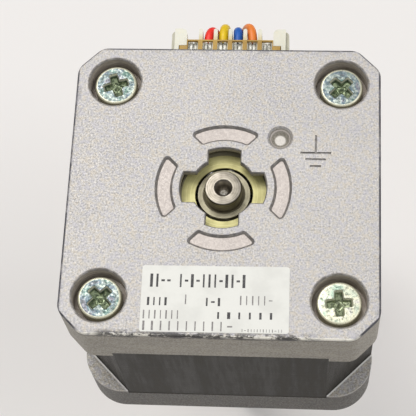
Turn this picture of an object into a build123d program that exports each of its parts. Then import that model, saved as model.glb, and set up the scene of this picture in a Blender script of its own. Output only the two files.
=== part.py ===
from build123d import *
import math
import os

# ---------------------------------------------------------------------------
# Hybrid stepper motor, 42 mm square class, whose rotor shaft carries on below
# the mounting flange as a trapezoidal lead screw with a flanged brass nut.
# Millimetres.  Origin: centre of the flange's mounting face.  +Z runs along
# the motor axis towards the rear cover, the lead screw points down -Z, and +Y
# is the side that carries the wire connector.
# ---------------------------------------------------------------------------

# --- driving dimensions -----------------------------------------------------
FRAME = 41.6            # square across flats
HALF = FRAME / 2
BODY = 35.0             # mounting face to rear face
HOLE = 31.0 / 2         # screw and mounting hole half spacing
FLANGE_H = 7.1          # front flange height
COVER_H = 8.1           # rear cover height at its straight rim
Z_ST0 = FLANGE_H        # stator stack, lower face
Z_ST1 = BODY - COVER_H  # stator stack, upper face
PAD = 1.2               # corner pads that run past the stack faces
STACK_CH = 6.5          # stack corner chamfer leg
FLANGE_R = 5.5          # flange corner radius
COVER_CH = 3.2          # rear cover corner chamfer leg
COVER_R = 2.2           # blend beside that chamfer
BOSS_R, BOSS_H = 11.0, 2.0

SHAFT_R = 2.5
Z_SHAFT_TOP = 34.8
BRG_OD, BRG_ID, BRG_W = 13.0, 5.0, 4.0
Z_BF = 1.0              # front bearing, lower face
Z_BR = 28.6             # rear bearing, lower face
RING_IN_R = 3.5         # inner ring outside radius
RING_OUT_R = 5.55       # outer ring inside radius
BALL_R, BALL_PR, BALLS = 0.95, 4.52, 9
SHIELD_R0, SHIELD_R1 = 3.9, 5.72

ROTOR_R, TEETH = 12.0, 100
TOOTH_D = 0.35
AIR_GAP = 0.12
Z_C0, Z_M0, Z_M1, Z_C1 = 8.1, 15.9, 18.1, 25.9   # front core, magnet, rear core
MAG_R = 9.4

SLOT_R = 17.2
POLE_W = 4.4
SHOE_R = 13.3
POLES = 8

SCREW_R = 4.0           # trapezoidal thread, major radius
LEAD = 8.0              # four starts at 2 mm pitch
Z_T0, Z_T1 = -4.0, -61.0
Z_END = -69.0
NUT_Z = -22.0           # upper face of the nut's flange
NUT_FLANGE_R, NUT_FLANGE_T = 11.0, 3.5
NUT_BODY_R = 5.1
NUT_BORE_R = SCREW_R + 0.06
NUT_PCD = 16.0
NUT_HOLE_R = 1.75

HEAD_R, HEAD_H = 2.93, 2.1
Z_HEAD = 34.1
CB_R = 3.55
WIRE_R = 0.65
LEAD_D = 2.9            # four wires laid together

os.makedirs("parts", exist_ok=True)
NODES = {}


def cyl(r, z0, z1, x=0.0, y=0.0):
    return Pos(x, y, (z0 + z1) / 2) * Cylinder(r, z1 - z0)


def ring(r0, r1, z0, z1):
    return cyl(r1, z0, z1) - cyl(r0, z0 - 1, z1 + 1)


def box(x0, x1, y0, y1, z0, z1):
    return Pos((x0 + x1) / 2, (y0 + y1) / 2, (z0 + z1) / 2) * Box(x1 - x0, y1 - y0, z1 - z0)


def prism(points, z0, z1):
    face = make_face(Polyline(*[(p[0], p[1]) for p in points], close=True))
    return Pos(0, 0, z0) * extrude(face, amount=z1 - z0, dir=(0, 0, 1))


def octagon(half, leg):
    h, c = half, half - leg
    return [(c, h), (-c, h), (-h, c), (-h, -c), (-c, -h), (c, -h), (h, -c), (h, c)]


def spin(shape, n, start=0.0):
    return [Rot(0, 0, start + 360.0 * i / n) * shape for i in range(n)]


def keep(name, shape):
    solids = shape if isinstance(shape, list) else [shape]
    out = []
    for s in solids:
        out.extend(s.solids())
    NODES[name] = out


def profile(points):
    """Solid of revolution about Z from (r, z) corners."""
    wire = Polyline(*[(p[0], 0, p[1]) for p in points], close=True)
    return revolve(make_face(wire), Axis.Z, 360)


# --- stator stack: eight toothed poles inside a chamfered square -------------
def polar(r, a):
    return (r * math.cos(math.radians(a)), r * math.sin(math.radians(a)))


def stator_inside():
    pts = []
    bore = ROTOR_R + AIR_GAP
    pitch = 360.0 / TEETH
    for k in range(POLES):
        a = 360.0 * k / POLES
        half_out = math.degrees(math.asin(POLE_W / 2 / SLOT_R))
        half_in = math.degrees(math.asin(POLE_W / 2 / SHOE_R))
        shoe = 5 * pitch - 0.25 * pitch
        pts.append(polar(SLOT_R, a - half_out))
        pts.append(polar(SHOE_R, a - half_in))
        pts.append(polar(SHOE_R - 0.25, a - shoe))
        for t in range(10):
            c = a + (t - 4.5) * pitch
            pts.append(polar(bore, c - 0.22 * pitch))
            pts.append(polar(bore, c + 0.22 * pitch))
            if t < 9:
                pts.append(polar(bore + TOOTH_D, c + 0.30 * pitch))
                pts.append(polar(bore + TOOTH_D, c + 0.70 * pitch))
        pts.append(polar(SHOE_R - 0.25, a + shoe))
        pts.append(polar(SHOE_R, a + half_in))
        pts.append(polar(SLOT_R, a + half_out))
        nxt = a + 360.0 / POLES - half_out
        for j in (1, 2, 3):
            pts.append(polar(SLOT_R, a + half_out + (nxt - a - half_out) * j / 4))
    return pts


stack = prism(octagon(HALF - 0.05, STACK_CH), Z_ST0, Z_ST1) - prism(stator_inside(), Z_ST0 - 1, Z_ST1 + 1)
for sx in (-1, 1):
    for sy in (-1, 1):
        stack -= cyl(1.65, Z_ST0 - 1, Z_ST1 + 1, sx * HOLE, sy * HOLE)
keep("stator_stack", stack)


# --- slot insulators and coils ----------------------------------------------
def insulator(z0, z1, lip0, lip1):
    plate = ring(16.6, 17.1, z0, z1)
    arms = [Rot(0, 0, 45 * k) * box(12.6, 16.8, -2.15, 2.15, z0, z1) for k in range(8)]
    lips = [Rot(0, 0, 45 * k) * box(12.6, 13.3, -4.2, 4.2, lip0, lip1) for k in range(8)]
    for a in arms + lips:
        plate += a
    return plate


keep("front_insulator", insulator(Z_ST0 - 0.9, Z_ST0, Z_ST0 - 2.9, Z_ST0))
keep("rear_insulator", insulator(Z_ST1, Z_ST1 + 0.9, Z_ST1, Z_ST1 + 2.9))
coil = box(13.45, 15.9, -4.5, 4.5, Z_ST0 - 3.1, Z_ST1 + 3.1) - box(13, 17, -2.25, 2.25, Z_ST0 - 0.95, Z_ST1 + 0.95)
coil = fillet(coil.edges().filter_by(Axis.X).filter_by_position(Axis.Y, -4.6, -4.4), 1.2)
coil = fillet(coil.edges().filter_by(Axis.X).filter_by_position(Axis.Y, 4.4, 4.6), 1.2)
keep("phase_a_coils", spin(coil, 4, 0.0))
keep("phase_b_coils", spin(coil, 4, 45.0))

# --- front flange: pilot boss, bearing seat, tapped corner holes --------------
plate = Pos(0, 0, FLANGE_H / 2) * Box(FRAME, FRAME, FLANGE_H)
plate = fillet(plate.edges().filter_by(Axis.Z), FLANGE_R)
plate = chamfer(plate.faces().sort_by(Axis.Z)[0].edges(), 0.3)
pads = Pos(0, 0, FLANGE_H + PAD / 2) * Box(FRAME, FRAME, PAD)
pads = fillet(pads.edges().filter_by(Axis.Z), FLANGE_R)
pads -= prism(octagon(HALF + 0.02, STACK_CH - 0.02), FLANGE_H - 1, FLANGE_H + PAD + 1)
flange = plate + cyl(BOSS_R, -BOSS_H, 0.5)
for p in pads.solids():
    flange += p
flange -= cyl(SLOT_R, 2.6, FLANGE_H + 1) - cyl(8.6, 2.0, 5.2)
flange -= cyl(BRG_OD / 2, Z_BF, 8.0)
flange -= cyl(4.6, -BOSS_H - 1, 3.0)
for sx in (-1, 1):
    for sy in (-1, 1):
        flange -= cyl(1.25, -1.0, 6.0, sx * HOLE, sy * HOLE)
        flange -= cyl(1.55, 4.6, 10.0, sx * HOLE, sy * HOLE)
keep("front_flange", flange)

# --- rear cover: counterbores, cross opening, arc recesses, connector notch ---
cover = prism(octagon(HALF, COVER_CH), Z_ST1, BODY)
cover = fillet(cover.edges().filter_by(Axis.Z), COVER_R)
cover = fillet(cover.faces().sort_by(Axis.Z)[-1].edges(), 0.24)
feet = prism(octagon(HALF, COVER_CH), Z_ST1 - PAD, Z_ST1)
feet = fillet(feet.edges().filter_by(Axis.Z), COVER_R)
feet -= prism(octagon(HALF + 0.02, STACK_CH - 0.02), Z_ST1 - PAD - 1, Z_ST1 + 1)
for p in feet.solids():
    cover += p
cover -= cyl(SLOT_R, Z_ST1 - 2, 32.0) - cyl(8.4, 28.4, 33.0)
cover -= cyl(BRG_OD / 2, 28.0, 34.0)
cross = cyl(4.25, 33.0, 36.0)
for a in (0, 90):
    cross += Rot(0, 0, a) * box(-8, 8, -2.15, 2.15, 33.0, 36.0) & cyl(5.75, 33.0, 36.0)
cover -= cross
lip = [e for e in cover.edges() if abs(e.center().Z - BODY) < 0.01 and math.hypot(e.center().X, e.center().Y) < 6.2]
cover = chamfer(lip, 0.16)


def arc_outline(z, grow, corner):
    """One quarter pad of the cast pattern, cut by two lines at 45 degrees."""
    strip = cyl(9.15 + grow, z - 1, z) - cyl(6.75 - grow, z - 2, z + 1)
    strip &= Rot(0, 0, 45) * box(2.1 - grow, 12, 2.1 - grow, 12, z - 2, z + 2)
    strip = strip.solids()[0]
    strip = fillet(strip.edges().filter_by(Axis.Z), corner)
    return strip.faces().sort_by(Axis.Z)[-1]


arc = loft([arc_outline(34.6, -0.38, 0.25), arc_outline(35.05, 0.04, 0.6)], ruled=True)
for k in range(4):
    cover -= Rot(0, 0, 90 * k) * arc
cover -= Pos(7.38, 7.38, 0) * profile([(0, 34.0), (0.72, 34.0), (1.75, 35.01), (1.75, 36.0), (0, 36.0)])
for sx in (-1, 1):
    for sy in (-1, 1):
        cover -= cyl(CB_R, Z_HEAD - HEAD_H, 36.0, sx * HOLE, sy * HOLE)
        cover -= cyl(1.65, 25.0, 33.0, sx * HOLE, sy * HOLE)
        cover -= Pos(sx * HOLE, sy * HOLE, 0) * profile([(0, BODY - 0.15), (CB_R, BODY - 0.15), (CB_R + 0.2, BODY + 0.05), (0, BODY + 0.05)])
# protective earth mark, cut as four thin grooves
for x0, x1, y0, y1 in ((12.02, 12.30, 5.2, 7.8), (10.1, 14.2, 5.05, 5.35), (10.8, 13.5, 4.12, 4.40), (11.4, 12.9, 3.12, 3.40)):
    cover -= box(x0, x1, y0, y1, 34.85, 36.0)
cover -= box(-8.4, 8.4, 16.1, 22.0, Z_ST1 - 0.5, 33.5)
keep("rear_cover", cover)

# --- rating label ------------------------------------------------------------
keep("rating_label", Pos(-0.42, -15.68, BODY + 0.04) * Rot(0, 0, 0.4) * Box(19.1, 9.0, 0.08))

# --- four long tie screws with cross recesses --------------------------------
drive = Pos(0, 0, Z_HEAD) * Box(3.3, 0.75, 2.0) + Pos(0, 0, Z_HEAD) * Box(0.75, 3.3, 2.0)
head = cyl(HEAD_R, Z_HEAD - HEAD_H, Z_HEAD)
head = fillet(head.edges().sort_by(Axis.Z)[-1], 0.5)
tie = head + cyl(1.45, 4.7, Z_HEAD - HEAD_H + 0.2) - drive
ties = []
for (sx, sy), a in zip(((-1, 1), (1, 1), (-1, -1), (1, -1)), (18, 45, 45, 4)):
    ties.append(Pos(sx * HOLE, sy * HOLE, 0) * Rot(0, 0, a) * tie)
keep("tie_screws", ties)


# --- ball bearings -----------------------------------------------------------
def bearing(prefix, z0):
    z1, zm, g = z0 + BRG_W, z0 + BRG_W / 2, BALL_R + 0.07
    groove = Pos(0, 0, zm) * Torus(BALL_PR, g)
    inner = profile([(SHAFT_R, z0 + 0.35), (SHAFT_R + 0.35, z0), (RING_IN_R, z0), (RING_IN_R, z1),
                     (SHAFT_R + 0.35, z1), (SHAFT_R, z1 - 0.35)]) - groove
    outer = profile([(RING_OUT_R, z0 + 0.1), (RING_OUT_R, z1 - 0.1), (5.75, z1 - 0.1), (5.75, z1),
                     (BRG_OD / 2 - 0.25, z1), (BRG_OD / 2, z1 - 0.25), (BRG_OD / 2, z0 + 0.25),
                     (BRG_OD / 2 - 0.25, z0), (5.75, z0), (5.75, z0 + 0.1)]) - groove
    outer -= ring(5.0, SHIELD_R1 + 0.02, z1 - 0.35, z1 + 1)
    outer -= ring(5.0, SHIELD_R1 + 0.02, z0 - 1, z0 + 0.35)
    balls = [Pos(*polar(BALL_PR, 360.0 * i / BALLS), zm) * Sphere(BALL_R) for i in range(BALLS)]
    cage = ring(BALL_PR - 0.42, BALL_PR + 0.42, zm - 0.85, zm + 1.25)
    for i in range(BALLS):
        cage -= Pos(*polar(BALL_PR, 360.0 * i / BALLS), zm) * Sphere(BALL_R + 0.08)
        cage -= Pos(*polar(BALL_PR, 360.0 * i / BALLS), zm - 0.6) * Cylinder(0.72, 1.2)
    keep(prefix + "_bearing_inner_ring", inner)
    keep(prefix + "_bearing_outer_ring", outer)
    keep(prefix + "_bearing_balls", balls)
    keep(prefix + "_bearing_cage", max(cage.solids(), key=lambda s: s.volume))
    keep(prefix + "_bearing_shields", [ring(SHIELD_R0, SHIELD_R1, z1 - 0.33, z1 - 0.08),
                                       ring(SHIELD_R0, SHIELD_R1, z0 + 0.08, z0 + 0.33)])


bearing("front", Z_BF)
bearing("rear", Z_BR)

# --- curved spring washer that preloads the rear bearing ----------------------
rw = 17.5
sheet = Pos(0, 0, 33.98 - rw) * Rot(90, 0, 0) * (Cylinder(rw, 20) - Cylinder(rw - 0.25, 22))
washer = ring(5.85, 6.4, 32.0, 36.0) & sheet
keep("spring_washer", [s for s in washer.solids() if s.volume > 0.01])

# --- rotor: shaft with lead screw, two toothed cores, magnet, spacers ----------
shaft = profile([
    (0, Z_SHAFT_TOP - 2.2), (0.45, Z_SHAFT_TOP - 1.9), (0.5, Z_SHAFT_TOP - 1.1), (1.2, Z_SHAFT_TOP),
    (SHAFT_R - 0.2, Z_SHAFT_TOP), (SHAFT_R, Z_SHAFT_TOP - 0.2), (SHAFT_R, Z_T0 + 0.6),
    (SCREW_R - 0.9, Z_T0), (SCREW_R, Z_T0 - 0.9), (SCREW_R, Z_T1 + 0.9), (SCREW_R - 0.9, Z_T1),
    (SHAFT_R, Z_T1), (SHAFT_R, Z_END + 0.5), (SHAFT_R - 0.5, Z_END),
    (0.9, Z_END), (0.4, Z_END + 1.0), (0, Z_END + 1.3),
])
keep("lead_screw_shaft", shaft)


def rotor_core(z0, z1, shift):
    pts = []
    pitch = 360.0 / TEETH
    for i in range(TEETH):
        c = i * pitch + shift
        pts.append(polar(ROTOR_R, c - 0.22 * pitch))
        pts.append(polar(ROTOR_R, c + 0.22 * pitch))
        pts.append(polar(ROTOR_R - TOOTH_D, c + 0.30 * pitch))
        pts.append(polar(ROTOR_R - TOOTH_D, c + 0.70 * pitch))
    return prism(pts, z0, z1) - cyl(SHAFT_R, z0 - 1, z1 + 1)


keep("rotor_core_front", rotor_core(Z_C0, Z_M0, 0.0))
keep("rotor_core_rear", rotor_core(Z_M1, Z_C1, 180.0 / TEETH))
keep("rotor_magnet", ring(SHAFT_R, MAG_R, Z_M0, Z_M1))
keep("rotor_spacers", [ring(SHAFT_R, 3.3, Z_BF + BRG_W, Z_C0), ring(SHAFT_R, 3.3, Z_C1, Z_BR)])

# --- flanged nut ---------------------------------------------------------------
nut = profile([
    (NUT_BORE_R, NUT_Z + 1.5), (NUT_BODY_R - 0.2, NUT_Z + 1.5), (NUT_BODY_R, NUT_Z + 1.3), (NUT_BODY_R, NUT_Z),
    (NUT_FLANGE_R - 0.3, NUT_Z), (NUT_FLANGE_R, NUT_Z - 0.3), (NUT_FLANGE_R, NUT_Z - NUT_FLANGE_T + 0.3),
    (NUT_FLANGE_R - 0.3, NUT_Z - NUT_FLANGE_T), (NUT_BODY_R, NUT_Z - NUT_FLANGE_T),
    (NUT_BODY_R, NUT_Z - 13.3), (NUT_BODY_R - 0.2, NUT_Z - 13.5), (NUT_BORE_R, NUT_Z - 13.5),
])
for k in range(4):
    nut -= Rot(0, 0, 45 + 90 * k) * cyl(NUT_HOLE_R, NUT_Z - 5, NUT_Z + 1, NUT_PCD / 2, 0)
keep("lead_screw_nut", nut)

# --- wire connector on the +Y side ---------------------------------------------
PITCH = 2.075
CX = -0.06              # centre of the six ways
Z_H0, Z_H1 = 27.0, 33.4


def way(i):
    return CX + (i - 2.5) * PITCH


header = box(CX - 8.2, CX + 8.2, 17.2, 21.25, Z_H0, Z_H1) + box(CX - 7.05, CX + 7.05, 17.2, 22.2, Z_H0, Z_H1)
header += box(CX - 6.04, CX + 6.04, 17.2, 23.15, 28.2, Z_H1)
header -= box(CX - 5.9, CX + 5.9, 18.2, 24.0, 28.9, 33.0)
for i in range(6):
    x = way(i)
    header -= box(x - 0.73, x + 0.73, 20.2, 22.95, 32.0, 34.0)
    header -= box(x - 0.26, x + 0.26, 16.0, 18.7, 31.2, 31.72)
keep("wire_header", header)
keep("header_pins", [box(way(i) - 0.25, way(i) + 0.25, 16.3, 19.4, 31.21, 31.71) for i in range(6)])

plug = box(CX - 5.86, CX + 5.86, 19.5, 23.2, 28.95, 32.95)
for i in range(6):
    x = way(i)
    plug -= box(x - 0.60, x + 0.60, 19.0, 23.05, 30.7, 33.4)
    plug -= box(x - 0.68, x + 0.68, 23.0, 24.0, 30.7, 33.4)
plug += box(CX - 8.24, CX + 8.24, 23.15, 23.9, 28.95, 30.4)
for s in (-1, 1):
    ear = box(6.05, 8.24, 22.25, 24.9, 28.95, 33.4) + box(7.15, 8.24, 21.3, 24.9, 28.95, 33.4)
    ear = fillet(ear.edges().filter_by(Axis.Z).filter_by_position(Axis.Y, 24.8, 25.0), 0.75)
    ear -= box(7.78, 9.0, 20.0, 25.5, 32.7, 34.0)
    plug += Pos(CX, 0, 0) * (ear if s > 0 else mirror(ear, Plane.YZ))
for i in range(5):
    x = CX + (i - 2) * PITCH
    post = box(x - 0.27, x + 0.27, 23.2, 25.1, 31.0, 33.1) + box(x - 0.34, x + 0.34, 23.2, 23.9, 28.95, 31.5)
    post = fillet(post.edges().filter_by(Axis.Z).filter_by_position(Axis.Y, 25.0, 25.2), 0.25)
    plug += post
keep("plug_housing", plug)

# stamped contacts: an open fork in front, a rolled barrel behind
contacts = []
for i in range(6):
    x = way(i)
    c = box(x - 0.57, x + 0.57, 19.6, 23.25, 30.75, 32.7) - box(x - 0.42, x + 0.42, 19.5, 22.0, 31.0, 32.4)
    c -= box(x - 0.30, x + 0.30, 20.9, 21.6, 32.0, 33.0)
    c -= box(x - 0.12, x + 0.12, 21.9, 23.4, 32.2, 33.0)
    c = chamfer(c.edges().filter_by(Axis.Y).filter_by_position(Axis.Z, 32.6, 32.8).filter_by_position(Axis.X, x - 0.6, x - 0.5), 0.15)
    c = chamfer(c.edges().filter_by(Axis.Y).filter_by_position(Axis.Z, 32.6, 32.8).filter_by_position(Axis.X, x + 0.5, x + 0.6), 0.15)
    contacts.append(c)
keep("plug_contacts", contacts)


# --- wires and harness -----------------------------------------------------------
def tube(points, r, label):
    pts = [Vector(*p) for p in points]
    runs = [(pts[i + 1] - pts[i]).length for i in range(len(pts) - 1)]
    radii = []
    for i in range(1, len(pts) - 1):
        turn = (pts[i] - pts[i - 1]).get_angle(pts[i + 1] - pts[i])
        radii.append(0.45 * min(runs[i - 1], runs[i]) / math.tan(math.radians(turn / 2)))
    path = FilletPolyline(*points, radius=radii)
    start = Plane(origin=path @ 0, z_dir=path % 0)
    solid = sweep(start * Circle(r), path=path)
    want = math.pi * r * r * path.length
    print(f"{label}: length {path.length:.1f} radii {[round(v, 1) for v in radii]} volume {solid.volume / want:.4f}")
    return solid


GATHER = (0.0, 24.9, 23.25)
WIRES = {
    "lead_red": [(-3.17, 23.3, 31.85), (-3.17, 24.5, 32.0), (-2.72, 25.8, 31.4), (-2.15, 26.1, 29.2), (-1.80, 25.05, 26.6), (-0.66, 24.24, 23.25)],
    "lead_yellow": [(-1.10, 23.3, 31.85), (-1.10, 24.7, 32.1), (-0.98, 26.25, 31.5), (-0.76, 26.78, 29.2), (-0.64, 26.5, 26.3), (-0.66, 25.56, 23.25)],
    "lead_blue": [(0.98, 23.3, 31.85), (0.98, 24.6, 32.0), (0.90, 25.9, 31.3), (0.80, 26.0, 29.2), (0.78, 25.1, 26.5), (0.66, 24.24, 23.25)],
    "lead_orange": [(3.05, 23.3, 31.85), (3.05, 24.55, 32.1), (2.58, 26.12, 31.8), (1.92, 26.8, 29.9), (1.54, 26.6, 26.3), (0.66, 25.56, 23.25)],
}
for name, pts in WIRES.items():
    keep(name, tube(pts, WIRE_R, name))

keep("harness_sleeve", Pos(0, 24.9, 21.6) * (Cylinder(1.75, 3.2)))

COIL = (-2.0, 29.3, -17.0)   # centre of the hank, axis along Y
COIL_R = 17.5                # middle of the turns
COIL_W = 9.5                 # three turns side by side
ROUTE = [(0.0, 24.9, 20.0), (0.3, 25.0, 13.4), (1.8, 25.2, 7.1), (5.0, 25.5, 1.3), (9.6, 25.9, -3.2)]
keep("harness_lead", tube(ROUTE, LEAD_D / 2, "harness_lead"))
sec = Pos(COIL_R, 0, 0) * RectangleRounded(LEAD_D, COIL_W, 1.3)
coil_ring = revolve(Plane.XZ * sec, Axis.Z, 360)
keep("harness_coil", Pos(*COIL) * Rot(90, 0, 0) * coil_ring)
TAIL = [(11.8, 32.5, -28.0), (9.2, 32.5, -32.6), (7.2, 32.1, -37.6), (6.4, 31.2, -42.9)]
keep("harness_tail", tube(TAIL, LEAD_D / 2, "harness_tail"))
tie_band = extrude(RectangleRounded(LEAD_D + 2.1, COIL_W + 1.5, 2.1), amount=1.7, both=True)
tie_band -= extrude(RectangleRounded(LEAD_D + 0.1, COIL_W - 0.4, 1.2), amount=4, both=True)
tie_head = Pos(LEAD_D / 2 + 1.5, 0, 0) * Box(2.3, 4.6, 4.6)
tie_head = fillet(tie_head.edges().filter_by(Axis.X), 0.5)
tie_head -= Pos(LEAD_D / 2 + 1.75, 0, 0) * Box(0.9, 2.9, 9)
tie_band += tie_head
tie_band += Pos(LEAD_D / 2 + 1.75, 0, -0.6) * Box(0.75, 2.5, 6.4)
keep("harness_tie", Pos(COIL[0] + COIL_R, COIL[1], COIL[2]) * tie_band)
EC = (6.4, 31.2, -42.9)
end = Pos(EC[0], EC[1], EC[2] - 5.4) * Box(12.4, 5.8, 9.8)
end = fillet(end.edges().filter_by(Axis.Z), 0.4)
for i in range(4):
    end -= Pos(EC[0] + (i - 1.5) * 2.5, EC[1], EC[2] - 8.3) * Box(1.7, 2.4, 6.0)
    end -= Pos(EC[0] + (i - 1.5) * 2.5, EC[1] + 2.0, EC[2] - 7.0) * Box(1.2, 2.4, 2.4)
for s in (-1, 1):
    end += Pos(EC[0] + s * 3.9, EC[1] - 3.1, EC[2] - 5.4) * Box(1.2, 0.8, 9.8)
end += Pos(EC[0], EC[1], EC[2] - 0.6) * Cylinder(2.1, 1.2)
end -= Pos(EC[0], EC[1], EC[2]) * Cylinder(1.5, 0.6)
keep("end_housing", end)
keep("end_terminals", [Pos(EC[0] + (i - 1.5) * 2.5, EC[1], EC[2] - 7.4) * (Box(1.5, 2.2, 4.0) - Box(1.0, 1.7, 6.0)) for i in range(4)])

# --- write one file per piece -----------------------------------------------------
for name, solids in NODES.items():
    shape = solids[0] if len(solids) == 1 else Compound(children=solids)
    export_step(shape, f"parts/{name}.step")
print(len(NODES), "pieces")
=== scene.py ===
import bpy, bmesh, math, random
from mathutils import Vector, Matrix


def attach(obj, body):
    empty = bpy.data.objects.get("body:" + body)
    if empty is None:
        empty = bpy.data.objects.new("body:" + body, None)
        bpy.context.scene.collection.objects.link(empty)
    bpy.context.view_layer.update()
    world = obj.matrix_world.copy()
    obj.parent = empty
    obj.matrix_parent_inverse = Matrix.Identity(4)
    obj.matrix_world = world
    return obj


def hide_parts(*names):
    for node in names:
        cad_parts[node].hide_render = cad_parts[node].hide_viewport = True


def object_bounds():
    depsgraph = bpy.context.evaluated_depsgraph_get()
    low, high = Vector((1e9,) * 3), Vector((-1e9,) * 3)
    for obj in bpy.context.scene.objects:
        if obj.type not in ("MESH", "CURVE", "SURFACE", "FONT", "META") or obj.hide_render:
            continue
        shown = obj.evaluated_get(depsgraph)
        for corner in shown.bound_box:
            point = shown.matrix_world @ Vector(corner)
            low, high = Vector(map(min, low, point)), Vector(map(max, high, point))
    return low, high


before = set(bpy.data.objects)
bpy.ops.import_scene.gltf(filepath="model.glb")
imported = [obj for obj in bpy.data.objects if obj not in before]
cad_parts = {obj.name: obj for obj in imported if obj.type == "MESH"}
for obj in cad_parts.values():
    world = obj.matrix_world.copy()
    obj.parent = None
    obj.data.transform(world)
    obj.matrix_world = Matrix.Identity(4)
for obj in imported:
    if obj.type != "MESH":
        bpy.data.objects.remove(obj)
cad_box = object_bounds()
MM = 0.001
random.seed(7)
scene = bpy.context.scene
coll = scene.collection


def V(x, y, z):
    return Vector((x * MM, y * MM, z * MM))


# ---------------------------------------------------------------- camera
cam_data = bpy.data.cameras.new("camera")
cam_data.sensor_width = 36.0
cam_data.lens = 121.95
cam_data.clip_start = 0.01
cam_data.clip_end = 5.0
cam = bpy.data.objects.new("camera", cam_data)
coll.objects.link(cam)
ax = Vector((0.99709856, 0.04522771, -0.0612284))
ay = -Vector((0.01823729, -0.92286163, -0.38469963))
az = -Vector((-0.07390442, 0.38246681, -0.92100884))
cam.matrix_world = Matrix((
    (ax.x, ay.x, az.x, 11.852 * MM),
    (ax.y, ay.y, az.y, -74.042 * MM),
    (ax.z, ay.z, az.z, 206.004 * MM),
    (0, 0, 0, 1)))
scene.camera = cam
scene.view_settings.view_transform = "Standard"
scene.view_settings.look = "None"


# ---------------------------------------------------------------- materials
def lin(h):
    h = h.lstrip("#")
    out = []
    for i in (0, 2, 4):
        c = int(h[i:i + 2], 16) / 255
        out.append(c / 12.92 if c <= 0.04045 else ((c + 0.055) / 1.055) ** 2.4)
    return tuple(out) + (1.0,)


class Mat:
    """A small helper around a node tree."""

    def __init__(self, name, color, rough=0.5, metal=0.0, spec=None, coat=0.0, coat_rough=None, subsurf=0.0, trans=0.0, ior=None):
        self.m = bpy.data.materials.new(name)
        self.m.use_nodes = True
        self.nt = self.m.node_tree
        self.b = self.nt.nodes["Principled BSDF"]
        self.b.inputs["Base Color"].default_value = lin(color) if isinstance(color, str) else color
        self.b.inputs["Roughness"].default_value = rough
        self.b.inputs["Metallic"].default_value = metal
        if spec is not None:
            self.b.inputs["Specular IOR Level"].default_value = spec
        if coat:
            self.b.inputs["Coat Weight"].default_value = coat
        if coat_rough is not None:
            self.b.inputs["Coat Roughness"].default_value = coat_rough
        if ior is not None:
            self.b.inputs["IOR"].default_value = ior
        if subsurf:
            self.b.inputs["Subsurface Weight"].default_value = subsurf
            self.b.inputs["Subsurface Radius"].default_value = (1.0, 0.9, 0.7)
            self.b.inputs["Subsurface Scale"].default_value = 0.0012
        if trans:
            self.b.inputs["Transmission Weight"].default_value = trans
        self.tc = self.nt.nodes.new("ShaderNodeTexCoord")
        self._xyz = None

    def n(self, kind, **kw):
        node = self.nt.nodes.new(kind)
        for k, v in kw.items():
            setattr(node, k, v)
        return node

    def link(self, a, b):
        self.nt.links.new(a, b)

    def obj(self):
        return self.tc.outputs["Object"]

    def xyz(self):
        if self._xyz is None:
            s = self.n("ShaderNodeSeparateXYZ")
            self.link(self.obj(), s.inputs[0])
            self._xyz = (s.outputs[0], s.outputs[1], s.outputs[2])
        return self._xyz

    def noise(self, scale, detail=2.0, rough=0.5, stretch=None, dist=0.0, coord=None):
        node = self.n("ShaderNodeTexNoise")
        node.inputs["Scale"].default_value = scale
        node.inputs["Detail"].default_value = detail
        node.inputs["Roughness"].default_value = rough
        node.inputs["Distortion"].default_value = dist
        src = coord or self.obj()
        if stretch:
            mp = self.n("ShaderNodeMapping")
            mp.inputs["Scale"].default_value = stretch
            self.link(src, mp.inputs["Vector"])
            src = mp.outputs[0]
        self.link(src, node.inputs["Vector"])
        return node.outputs[0]

    def voronoi(self, scale, feature="F1", stretch=None):
        node = self.n("ShaderNodeTexVoronoi", feature=feature)
        node.inputs["Scale"].default_value = scale
        src = self.obj()
        if stretch:
            mp = self.n("ShaderNodeMapping")
            mp.inputs["Scale"].default_value = stretch
            self.link(src, mp.inputs["Vector"])
            src = mp.outputs[0]
        self.link(src, node.inputs["Vector"])
        return node.outputs["Distance"]

    def ramp(self, fac, stops, interp="LINEAR"):
        r = self.n("ShaderNodeValToRGB")
        r.color_ramp.interpolation = interp
        el = r.color_ramp.elements
        while len(el) < len(stops):
            el.new(0.5)
        for e, (p, c) in zip(el, stops):
            e.position = p
            e.color = (lin(c) if isinstance(c, str) else (c, c, c, 1.0) if isinstance(c, (int, float)) else c)
        self.link(fac, r.inputs[0])
        return r.outputs[0]

    def mix(self, fac, a, b, blend="MIX"):
        x = self.n("ShaderNodeMix", data_type="RGBA", blend_type=blend)
        for sock, val in ((x.inputs[0], fac), (x.inputs[6], a), (x.inputs[7], b)):
            if hasattr(val, "is_linked") or isinstance(val, bpy.types.NodeSocket):
                self.link(val, sock)
            elif isinstance(val, str):
                sock.default_value = lin(val)
            elif isinstance(val, (int, float)):
                if sock.type == "RGBA":
                    sock.default_value = (val, val, val, 1)
                else:
                    sock.default_value = val
            else:
                sock.default_value = val
        return x.outputs[2]

    def math(self, op, a, b=None, c=None, clamp=False):
        x = self.n("ShaderNodeMath", operation=op, use_clamp=clamp)
        for i, val in enumerate((a, b, c)):
            if val is None:
                continue
            if isinstance(val, bpy.types.NodeSocket):
                self.link(val, x.inputs[i])
            else:
                x.inputs[i].default_value = val
        return x.outputs[0]

    def step(self, v, lo, hi, a=0.0, b=1.0, smooth=True):
        x = self.n("ShaderNodeMapRange")
        x.interpolation_type = "SMOOTHSTEP" if smooth else "LINEAR"
        self.link(v, x.inputs[0])
        for i, val in enumerate((lo, hi, a, b)):
            x.inputs[i + 1].default_value = val
        return x.outputs[0]

    def color(self, c):
        self.link(c, self.b.inputs["Base Color"])
        return self

    def rough(self, r):
        self.link(r, self.b.inputs["Roughness"])
        return self

    def bump(self, h, strength=0.3, dist=0.0001):
        x = self.n("ShaderNodeBump")
        x.inputs["Strength"].default_value = strength
        x.inputs["Distance"].default_value = dist
        self.link(h, x.inputs["Height"])
        self.link(x.outputs[0], self.b.inputs["Normal"])
        return self


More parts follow.
